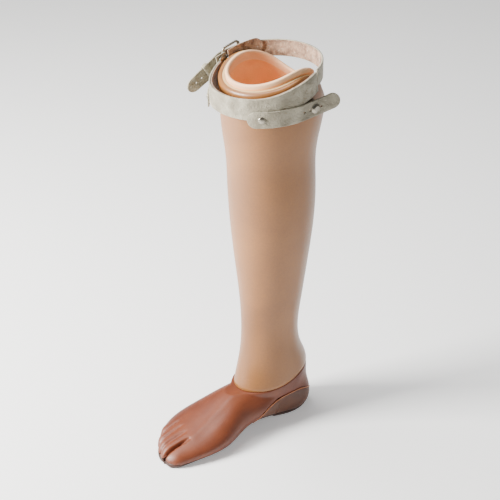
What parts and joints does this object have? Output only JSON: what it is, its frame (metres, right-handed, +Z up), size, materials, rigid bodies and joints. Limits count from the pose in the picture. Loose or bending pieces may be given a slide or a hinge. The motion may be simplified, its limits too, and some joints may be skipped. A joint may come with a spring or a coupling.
{
  "type": "prosthetic leg",
  "caption": "Below-knee artificial leg with a skin-tone laminated shank, soft socket liner, cushion-heel foot and a buckled leather cuff above the brim.",
  "frame": {"origin": "on the floor, at the mouth of the foot bolt's access hole under the heel", "axes": "+Z up along the shank; toes point to -Y; +X is the inner (medial) side of this right leg"},
  "size_m": [0.1557, 0.254, 0.4899],
  "materials": {
    "skin_laminate": "satin",
    "socket_laminate": "matte",
    "rigid_foam": "matte",
    "ankle_wood": "matte",
    "liner_foam": "matte",
    "foot_rubber": "satin",
    "cushion_rubber": "matte",
    "sole_rubber": "matte",
    "belting": "matte",
    "steel": "satin",
    "nickel": "polished",
    "white_leather": "satin",
    "suede": "matte"
  },
  "bodies": {
    "leg": {"shank_shell": "skin_laminate", "socket_shell": "socket_laminate", "foam_core": "rigid_foam", "ankle_block": "ankle_wood", "foot_body": "foot_rubber", "heel_cushion": "cushion_rubber", "sole": "sole_rubber", "foot_keel": "ankle_wood", "keel_belting": "belting", "foot_bolt": "steel", "foot_bolt_washer": "steel", "foot_bolt_lock_washer": "steel", "ankle_washer": "steel", "ankle_nut": "steel", "medial_stud": "nickel", "lateral_stud": "nickel"},
    "liner": {"soft_liner": "liner_foam", "distal_pad": "liner_foam"},
    "cuff": {"cuff_band": "white_leather", "cuff_lining": "suede", "closure_strap": "white_leather", "chafe_tongue": "suede", "medial_billet": "white_leather", "lateral_billet": "white_leather", "medial_billet_rivet": "nickel", "lateral_billet_rivet": "nickel", "buckle_frame": "nickel", "buckle_chafe": "white_leather", "buckle_rivets": "nickel", "keeper_loop": "white_leather"},
    "prong": {"buckle_prong": "nickel"},
    "roller": {"buckle_roller": "nickel"}
  },
  "joints": [
    {"name": "liner_lift", "type": "slide", "parent": "leg", "child": "liner", "axis": [0, 0, 1], "range_m": [0, 0.2]},
    {"name": "cuff_swing", "type": "hinge", "parent": "leg", "child": "cuff", "pos_m": [0, 0.014, 0.441], "axis": [-1, 0, 0], "range_deg": [0, 14]},
    {"name": "prong_swing", "type": "hinge", "parent": "cuff", "child": "prong", "pos_m": [-0.0687, -0.00966, 0.46822], "axis": [0, -0.2419, 0.9703], "range_deg": [0, 100]},
    {"name": "roller_spin", "type": "hinge", "parent": "cuff", "child": "roller", "pos_m": [-0.0687, 0.01266, 0.47378], "axis": [0, -0.2419, 0.9703], "continuous": true}
  ]
}
